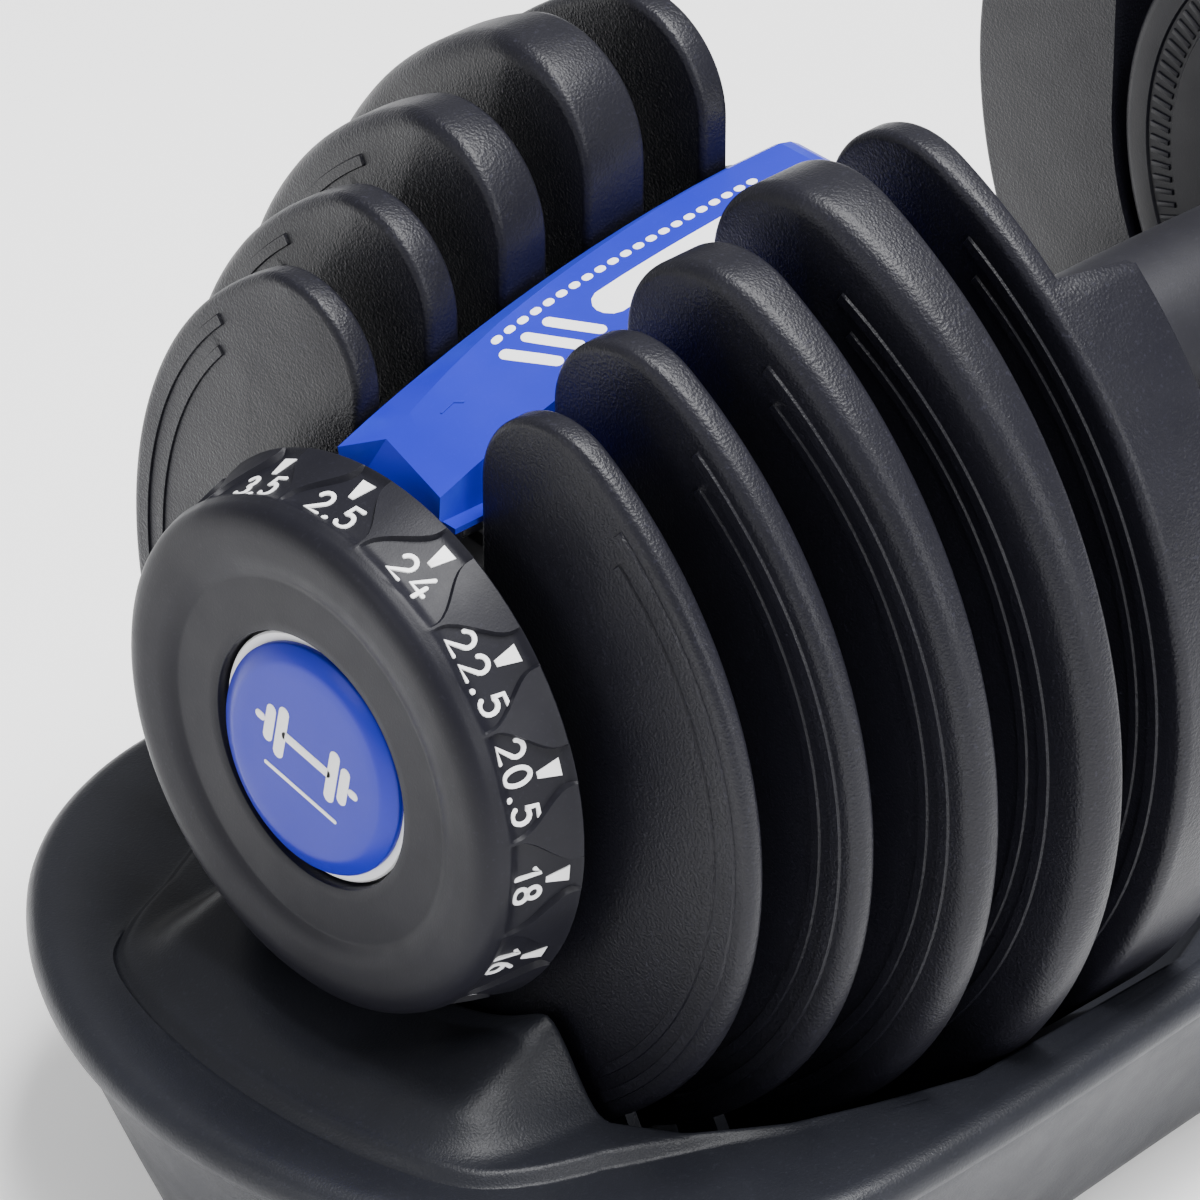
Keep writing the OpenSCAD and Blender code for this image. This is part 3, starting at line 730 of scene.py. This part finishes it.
def cover_marks(shell):
    """Plain white bars and dots printed on the cover, and a small moulded tick near its end."""
    def surface(across, along, h):
        ridge, edge = cover_point(COVER_RIDGE, along), cover_point(COVER_EDGE, along)
        part = (-across - edge[1]) / (ridge[1] - edge[1])
        return (along, -across, edge[2] + part * (ridge[2] - edge[2]) + h)

    bars = [((-3.0, along), (5.0, along + 4.5), 1.1) for along in (50.0, 55.0, 60.0)]
    bars += [((-6.6, along), (-6.6, along + 0.6), 0.75) for along in np.arange(51.0, 112.0, 3.0)]
    bars += [((1.0, 71.0), (1.0, 112.0), 3.4)]
    for start, stop, half_w in bars:
        bar(shell, start, stop, half_w, surface, 0.06, 9)
    stroke(shell, [(-2.6, 35.0), (-2.6, 37.6), (-1.2, 38.6)], 0.25, surface, 0.2)


def top_cover(side):
    """Blue cover over the bridge between the dial and the inner cap."""
    shell = Shell()
    outer, near_u = COVER_HALF + FLANGE_OUT, 22.6
    rows = []

    def section(u_low, shoulder, ridge, edge):
        """One row from the +y flange over the shoulder and the top face to the -y flange."""
        top = [tuple(r + (e - r) * f for r, e in zip(ridge, edge)) for f in (0, 0.25, 0.5, 0.75, 1)]
        rows.append([(u_low, outer, COVER_LOW), (u_low, outer, FLANGE_TOP),
                     (u_low, COVER_HALF, FLANGE_TOP + 0.05), shoulder, *top,
                     (u_low, edge[1] - 0.8, FLANGE_TOP + 0.05), (u_low, -outer, FLANGE_TOP),
                     (u_low, -outer, COVER_LOW)])

    # chamfered near end
    section(near_u, (22.0, COVER_HALF, FLANGE_TOP + 0.5), (23.4, 9.0, FLANGE_TOP + 0.6),
            (22.0, -11.0, FLANGE_TOP + 0.3))
    section(near_u, (21.4, COVER_HALF, 48.0), cover_point(COVER_RIDGE, 26.5), cover_point(COVER_EDGE, 22.8))
    # the length of the cover, and the drop of its rounded far end
    far_end = {124: 0.1, 126.5: 0.7, 128.5: 1.9, 130.0: 3.8, 130.8: 6.6}
    for u in (28, 30, 32, 35, 38, 42, 48, 54, 60, 66, 73, 80, 88, 95, 104, 113, *far_end):
        drop = far_end.get(u, 0.0)
        section(u, (u, COVER_HALF, cover_line(u) - drop), cover_point(COVER_RIDGE, u, drop),
                cover_point(COVER_EDGE, u, drop))
    shell.grid(rows)
    for row in (rows[0], rows[-1]):
        shell.cap(row)
    shell.grid([(row[0], row[-1]) for row in rows])
    cover_marks(shell)
    piece = make(f"cover_shell_{side}", shell, "handle", [f"top_cover_{side}"],
                 [BLUE, WHITE], side, sharp=20.0)
    bevel(piece, 0.5, 14.0)


# ---------- inner cap and grip ----------

def inner_cap(side):
    """Round disc at the end of the grip, with a ring of short radial ribs sunk into it."""
    shell = Shell()
    u0, u1, r = 121.2, HEAVY_U, 62.0
    ring_out, ring_in, centre_u = r - 7.0, r - 13.0, u1 - 1.0
    profile = [(u0, TUBE_R), (u0, r - 2), (u0 + 0.6, r - 0.6), (u0 + 2, r), (u1 - 2.5, r),
               (u1 - 1.2, r - 0.35), (u1 - 0.4, r - 1.1), (u1, r - 2.5), (u1, ring_out + 0.4),
               (u1 - 0.45, ring_out), (u1 - 0.45, ring_in), (u1, ring_in - 0.4), (u1, 32.0),
               (u1 - 0.8, 26.0), (centre_u, 18.5), (centre_u, TUBE_R)]
    lathe(shell, profile, 160)
    bore = [(TUBE_R * math.cos(a), TUBE_R * math.sin(a)) for a in np.linspace(0, 2 * math.pi, 161)]
    shell.grid([[(u, *p) for p in bore] for u in (u0, centre_u)])
    block = rounded_box((u1 - 0.6, -0.55, ring_in + 0.6), (u1 - 0.12, 0.55, ring_out - 0.6), 0.15)
    for a in np.linspace(0, 2 * math.pi, 120, endpoint=False):
        ca, sa = math.cos(a), math.sin(a)
        turned = [[(u, y * ca - z * sa, y * sa + z * ca) for u, y, z in row] for row in block]
        shell.grid(turned)
        shell.cap(turned[-1])
    make(f"inner_cap_disc_{side}", shell, "handle", [f"inner_cap_{side}"], [HANDLE], side)


def grip():
    """Rubber sleeve, a little thicker in the middle."""
    shell = Shell()
    half, end_r = FACE_X - HEAVY_U - 0.6, 16.0
    a = np.linspace(0, 2 * math.pi, 96, endpoint=False)
    stations = [(-half, TUBE_R), (-half, end_r - 0.8), (-half + 0.6, end_r - 0.2)]
    stations += [(x, end_r + 1.5 * (1 - (x / half) ** 2)) for x in np.linspace(-half + 2, half - 2, 33)]
    stations += [(half - 0.6, end_r - 0.2), (half, end_r - 0.8), (half, TUBE_R)]
    rows = [np.column_stack((np.full(len(a), x), r * np.cos(a), AXIS_H + r * np.sin(a)))
            for x, r in stations]
    shell.grid(rows, wrap=True)
    make("grip_rubber_sleeve", shell, "handle", ["grip_sleeve"], [GRIP])


# ---------- base ----------

# Outline in plan: a waist line, a corner arc and a flatter arc round the tip, one after the other
HALF_L, HALF_W, WAIST, CORNER, TIP = 228.5, 97.0, 90.0, 70.0, 110.0
CORNER_Y = HALF_W - CORNER
TIP_X = HALF_L - TIP
CORNER_X = TIP_X + math.sqrt((TIP - CORNER) ** 2 - CORNER_Y ** 2)
MEET = math.asin(CORNER_Y / (TIP - CORNER))

# Radius of the well's floor about the handle axis, along u
TROUGH = [(24.5, 79.5), (32, 87), (47, 94), (62, 98.5), (80, 103.2), (131, 103.2), (150, 97), (200, 97)]
# Half of the line round the foot of a pedestal, as (u, y)
FOOT_LINE = [(-15.0, 0.0), (-14.6, 12.0), (-12.4, 28.0), (-9.0, 40.0), (-5.0, 47.5), (4.0, 53.5),
             (21.0, 60.5), (40.0, 70.0), (56.0, 77.5)]
FOOT_CLOSE = (120.0, 84.5)  # where that line ends beside the well, as (x, y)
DECK_Z = -60.2  # deck of the tray, from the axis
SINK = 1.9  # further drop of the deck round the ends
LIP = 1.4  # rounding of the well's edge
SCOOP_R = 56.5  # hollow in the pedestal for the dial
SCOOP_BLEND = 2.2
END_COLUMNS = 70  # columns along each end of the well
HUB_X = 112  # the columns fan out round the ends from here


def trough_r(u):
    """Radius of the well's floor at u."""
    return np.interp(u, [p[0] for p in TROUGH], [p[1] for p in TROUGH])


def waist(x):
    """Half width of the base between its middle and its corners."""
    return WAIST + (HALF_W - WAIST) * (1 - np.cos(np.pi * x / CORNER_X)) / 2


def end_strength(u):
    """1 at the ends of the tray, falling to 0 beside the plates."""
    return 1 - smooth((u - 20.0) / 40.0)


def rim_curve():
    """Outline of the base in plan, anticlockwise."""
    quarter = [(x, float(waist(x))) for x in np.linspace(0, CORNER_X, 90)]
    quarter += arc(CORNER_X, CORNER_Y, CORNER, CORNER, 90, math.degrees(MEET), 40)[1:]
    quarter += arc(TIP_X, 0.0, TIP, TIP, math.degrees(MEET), 0, 40)[1:]
    q = np.array(quarter)
    ring = np.vstack((q, (q * [1, -1])[-2::-1], (q * [-1, -1])[1:], (q * [-1, 1])[-2:0:-1]))
    return ring[::-1]


def ray_hits(origins, directions, ring):
    """Distance along each ray to the farthest side of a closed ring that it meets."""
    e = np.roll(ring, -1, axis=0) - ring
    out = []
    for o, d in zip(origins, directions):
        den = d[0] * e[:, 1] - d[1] * e[:, 0]
        den = np.where(np.abs(den) < 1e-12, 1e-12, den)
        w = ring - o
        t = (w[:, 0] * e[:, 1] - w[:, 1] * e[:, 0]) / den
        s = (w[:, 0] * d[1] - w[:, 1] * d[0]) / den
        ok = (s >= -1e-9) & (s <= 1 + 1e-9) & (t > 0)
        out.append(t[ok].max() if ok.any() else 0.0)
    return np.array(out)


def pedestal_height(u, y):
    """Rise of the raised seat under the dial above its foot, before the dial's scoop is cut."""
    y = np.abs(y)
    along = np.clip((u + 15.0) / 39.0, 0, 1)
    across = 1 - smooth((y - 34.0) / 15.0)
    return 14.8 * along ** 1.15 * across


def base_surface(points, in_foot, to_well):
    """Height, relative to the axis, of the deck and the pedestals.
    in_foot: distance inside the foot line; to_well: distance to the edge of the well."""
    x, y = points.T
    u = FACE_X - np.abs(x)
    strength = end_strength(u)
    valley = DECK_Z - SINK * strength
    step = 2.3 * strength * smooth(in_foot / 3.2)
    seat = valley + step + pedestal_height(u, y) * smooth(in_foot / 12.0)
    scoop = -np.sqrt(np.clip(SCOOP_R ** 2 - y * y, 1.0, None))
    part = np.clip(0.5 + 0.5 * (scoop - seat) / SCOOP_BLEND, 0, 1)
    scooped = scoop * (1 - part) + seat * part - SCOOP_BLEND * part * (1 - part)
    seat = np.where(np.abs(y) < SCOOP_R - 2, scooped, seat)
    d = np.clip(LIP - to_well, 0, LIP)
    return seat - (LIP - np.sqrt(LIP ** 2 - d ** 2))


def well_outline():
    """Edge of the well in plan, clockwise from the -x end of the +y side, and the x of its columns."""
    end_x = FACE_X - TROUGH[0][0]
    middle_x = 66.0  # half length of the stretch below the grip, which needs fewer columns
    side_x = np.concatenate((np.linspace(-end_x, -middle_x, 76), np.linspace(-middle_x, middle_x, 56)[1:],
                             np.linspace(middle_x, end_x, 76)[1:]))
    side_y = np.sqrt(trough_r(FACE_X - np.abs(side_x)) ** 2 - (DECK_Z - LIP) ** 2)
    end_y = np.linspace(side_y[0], -side_y[0], END_COLUMNS + 2)[1:-1]
    end = np.full(END_COLUMNS, end_x)
    well = np.vstack((np.column_stack((side_x, side_y)), np.column_stack((end, end_y)),
                      np.column_stack((side_x[::-1], -side_y[::-1])), np.column_stack((-end, -end_y))))
    return well, side_x


def foot_ring():
    """Closed outline of the feet of both pedestals and the stretch between them."""
    foot = np.array(FOOT_LINE)
    part = np.vstack((FOOT_CLOSE, np.column_stack((FACE_X - foot[:, 0], foot[:, 1]))[::-1]))
    return np.vstack((part, (part * [1, -1])[-2::-1], part * [-1, -1], (part * [-1, 1])[-2::-1]))


def bowl_row(x, start, stop, columns):
    """Arc about the handle axis from one edge of the well to the other."""
    r = math.hypot(start[1], start[2] - AXIS_H)
    beta = math.atan2(start[1], AXIS_H - start[2])
    row = [(x, r * math.sin(b), AXIS_H - r * math.cos(b)) for b in np.linspace(beta, -beta, columns)]
    row[0], row[-1] = tuple(start), tuple(stop)
    return row


def well_floor(shell, edge, side_x):
    """Floor of the well and the two walls that close its ends."""
    n_side = len(side_x)
    plus_y = edge[:n_side]
    minus_y = edge[n_side + END_COLUMNS:2 * n_side + END_COLUMNS][::-1]
    bowl = [bowl_row(*columns, 49) for columns in zip(side_x, plus_y, minus_y)]
    shell.grid(bowl)
    right_end = edge[n_side - 1:n_side + END_COLUMNS + 1]
    left_end = np.vstack((edge[2 * n_side + END_COLUMNS - 1:], edge[:1]))[::-1]
    for end in (right_end, left_end):
        shell.grid([end, bowl_row(end[0][0], end[0], end[-1], len(end))])


def base_tray():
    """Top of the tray: rows run from the rolled rim over the deck to the edge of the well.
    Returns the outline of the rim and its normals, which the skirt follows."""
    shell = Shell()
    well, side_x = well_outline()
    hub = np.column_stack((np.clip(well[:, 0], -HUB_X, HUB_X), np.zeros(len(well))))
    ray = well - hub
    length = np.hypot(*ray.T)
    ray /= length[:, None]
    to_rim = ray_hits(hub, ray, rim_curve())
    to_foot = np.maximum(ray_hits(hub, ray, foot_ring()), length + 3.5)
    to_foot = np.minimum(to_foot, to_rim - 6.7)
    for _ in range(3):
        to_foot = (np.roll(to_foot, 1) + 2 * to_foot + np.roll(to_foot, -1)) / 4

    # rolled rim, from the parting line over the crest, as (inset, z)
    roll = [(2.5, -67.6), (1.2, -66.9), (0.35, -65.9), (0.02, -64.7), (0.1, -63.5), (0.6, -62.2),
            (1.5, -61.1), (2.8, -60.35), (4.2, -60.02), (5.2, -60.0), (6.2, -60.06)]
    outer = hub + ray * to_rim[:, None]
    tangent = np.roll(outer, -1, axis=0) - np.roll(outer, 1, axis=0)
    normal = np.column_stack((-tangent[:, 1], tangent[:, 0]))
    normal /= np.hypot(*normal.T)[:, None]
    normal *= np.sign(np.sum(normal * outer, axis=1))[:, None]
    rows = [np.column_stack((outer - normal * inset, np.full(len(outer), z))) for inset, z in roll]

    # shallow slope from the rim to the foot line
    crest = rows[-1][:, :2]
    foot = hub + ray * to_foot[:, None]
    reach = np.clip(np.hypot(*(foot - crest).T) / 12.0, 0, 1)
    for f in (0.2, 0.4, 0.6, 0.78, 0.9, 1.0):
        p = crest + (foot - crest) * f
        strength = end_strength(FACE_X - np.abs(p[:, 0]))
        z = -60.12 - (0.08 + SINK * strength) * smooth(f) * reach
        rows.append(np.column_stack((p, z)))

    # pedestals and deck, then the rounded edge of the well
    width = np.maximum(to_foot - length, 1.8)
    lip_start = well + (foot - well) * (LIP / width)[:, None]
    for f in np.linspace(0, 1, 47)[1:]:
        part = 0.5 * f + 0.25 * (1 - math.cos(math.pi * f))
        inside = (width - LIP) * part
        p = foot + (lip_start - foot) * part
        rows.append(np.column_stack((p, base_surface(p, inside, width - inside))))
    for d in (1.05, 0.7, 0.4, 0.18, 0.05, 0.0):
        p = well + (foot - well) * (d / width)[:, None]
        rows.append(np.column_stack((p, base_surface(p, width - d, np.full(len(p), d)))))
    top = np.array(rows)
    top[:, :, 2] += AXIS_H
    shell.grid(top, wrap=True)

    # underside of the rim
    under = top[0].copy()
    under[:, :2] -= normal * 4.0
    under[:, 2] += 0.6
    shell.grid([under, top[0]], wrap=True)
    well_floor(shell, top[-1], side_x)
    make("storage_tray", shell, "base", ["base_tray"], [BASE], sharp=40.0)
    return outer, normal


def sector(shell, side, r_in, r_out, u0, u1, half_angle):
    """A block bent round the handle axis below it, with rounded inner edges."""
    s, r = SIDES[side], 0.7
    section = [(u0, r_out), (u0, r_in + r), (u0 + r * 0.3, r_in + r * 0.3), (u0 + r, r_in), (u1 - r, r_in),
               (u1 - r * 0.3, r_in + r * 0.3), (u1, r_in + r), (u1, r_out)]
    rows = []
    for a in np.radians(np.linspace(-half_angle, half_angle, 31)):
        rows.append([(s * (FACE_X - u), -s * rad * math.sin(a), AXIS_H - rad * math.cos(a))
                     for u, rad in section])
    shell.grid(rows)
    for row in (rows[0], rows[-1]):
        shell.cap(row)


def cradles():
    """Seats under the plates and the dividers that stand between them."""
    shell = Shell()
    divider = 2.4
    for side in SIDES:
        for k in range(len(PLATE_R)):
            end = PLATE_U[k] + plate_full(k)
            sector(shell, side, PLATE_R[k] + 0.35, trough_r(end) + 1.0, PLATE_U[k], end, 26)
            if k < INNERMOST:
                u = (end + PLATE_U[k + 1] - divider) / 2
                sector(shell, side, PLATE_R[k] - 9, trough_r(u + divider) + 1.0, u, u + divider, 30)
    make("tray_cradles", shell, "base", [], [BASE], sharp=30.0)


def base_skirt(outer, normal):
    """Drafted wall below the parting line; a finger hollow lies low on each side near both ends."""
    shell = Shell()
    levels = [(-66.9, 3.6), (-67.5, 3.1), (-68.4, 3.0), (-74, 5.2), (-80, 7.6), (-86, 9.9), (-92, 12.2),
              (-98, 14.5), (-104, 16.9), (-109, 18.9), (-111.2, 20.0), (-112.0, 21.5), (-112.0, 24.0)]
    rows = []
    end_u = FACE_X - np.abs(outer[:, 0])
    for z, inset in levels:
        hollow = 6.0 * smooth((-z - 79.0) / 9.0) * smooth((16 - np.abs(end_u + 4.0)) / 9.0)
        p = outer - normal * (inset + hollow)[:, None]
        rows.append(np.column_stack((p, np.full(len(outer), z + AXIS_H))))
    shell.grid(rows, wrap=True)
    make("drafted_skirt", shell, "base", ["base_skirt"], [BASE], sharp=40.0)


# ---------- studio ----------

def area_light(name, place_at, target, size, power):
    data = bpy.data.lights.new(name, "AREA")
    data.shape = "RECTANGLE"
    data.size, data.size_y = size
    data.energy = power
    lamp = bpy.data.objects.new(name, data)
    bpy.context.scene.collection.objects.link(lamp)
    lamp.location = place_at
    lamp.rotation_euler = (Vector(target) - Vector(place_at)).to_track_quat("-Z", "Y").to_euler()


def studio():
    edge, level = 6.0, -0.0002
    corners = [(-edge, -edge, level), (edge, -edge, level), (edge, edge, level), (-edge, edge, level)]
    mesh = bpy.data.meshes.new("floor")
    mesh.from_pydata(corners, [], [(0, 1, 2, 3)])
    floor = bpy.data.objects.new("floor", mesh)
    bpy.context.scene.collection.objects.link(floor)
    n = Nodes("pale_floor")
    n.link(n.mix(n.noise(0.01, 3.0), (0.92, 0.92, 0.93), (0.95, 0.95, 0.95)), n.shader.inputs["Base Color"])
    n.shader.inputs["Roughness"].default_value = 0.7
    n.shader.inputs["Emission Color"].default_value = (1.0, 1.0, 1.0, 1.0)
    n.shader.inputs["Emission Strength"].default_value = 0.4
    mesh.materials.append(n.material)
    world = bpy.data.worlds.new("studio")
    world.use_nodes = True
    world.node_tree.nodes["Background"].inputs["Color"].default_value = (1.0, 1.0, 1.0, 1.0)
    world.node_tree.nodes["Background"].inputs["Strength"].default_value = 0.42
    bpy.context.scene.world = world
    area_light("overhead", (0.15, -0.25, 1.6), (-0.05, 0, 0.1), (1.0, 0.8), 70)
    area_light("left_box", (-1.6, 0.3, 0.75), (-0.15, 0, 0.08), (0.7, 0.7), 5)
    area_light("right_box", (-0.12, -1.6, 0.75), (-0.1, 0, 0.1), (0.9, 0.7), 16)


def camera():
    """Camera from its right, up and back directions and its place."""
    data = bpy.data.cameras.new("camera")
    data.lens = 246.3
    data.sensor_width = 36.0
    cam = bpy.data.objects.new("camera", data)
    bpy.context.scene.collection.objects.link(cam)
    right, up, back = (0.7304, -0.6830, 0.0), (0.3704, 0.3961, 0.8402), (-0.5739, -0.6137, 0.5423)
    at = (-0.9489, -0.8774, 0.8931)
    cam.matrix_world = Matrix((*zip(right, up, back, at), (0, 0, 0, 1)))
    data.clip_start = 0.05
    data.clip_end = 20.0
    bpy.context.scene.camera = cam


for end_side in SIDES:
    for index in range(len(PLATE_R)):
        weight_plate(index, end_side)
    dial(end_side)
    dial_marks(end_side)
    dial_centre(end_side)
    top_cover(end_side)
    inner_cap(end_side)
grip()
skirt_line, skirt_normal = base_tray()
cradles()
base_skirt(skirt_line, skirt_normal)

slots = {part["node"]: part["material_slot"] for part in frame["record"]["subparts"]}
for node_name, node_object in frame["nodes"].items():
    if not node_object.hide_render:
        node_object.data.materials.clear()
        node_object.data.materials.append(FINISH[slots[node_name]])

studio()
camera()
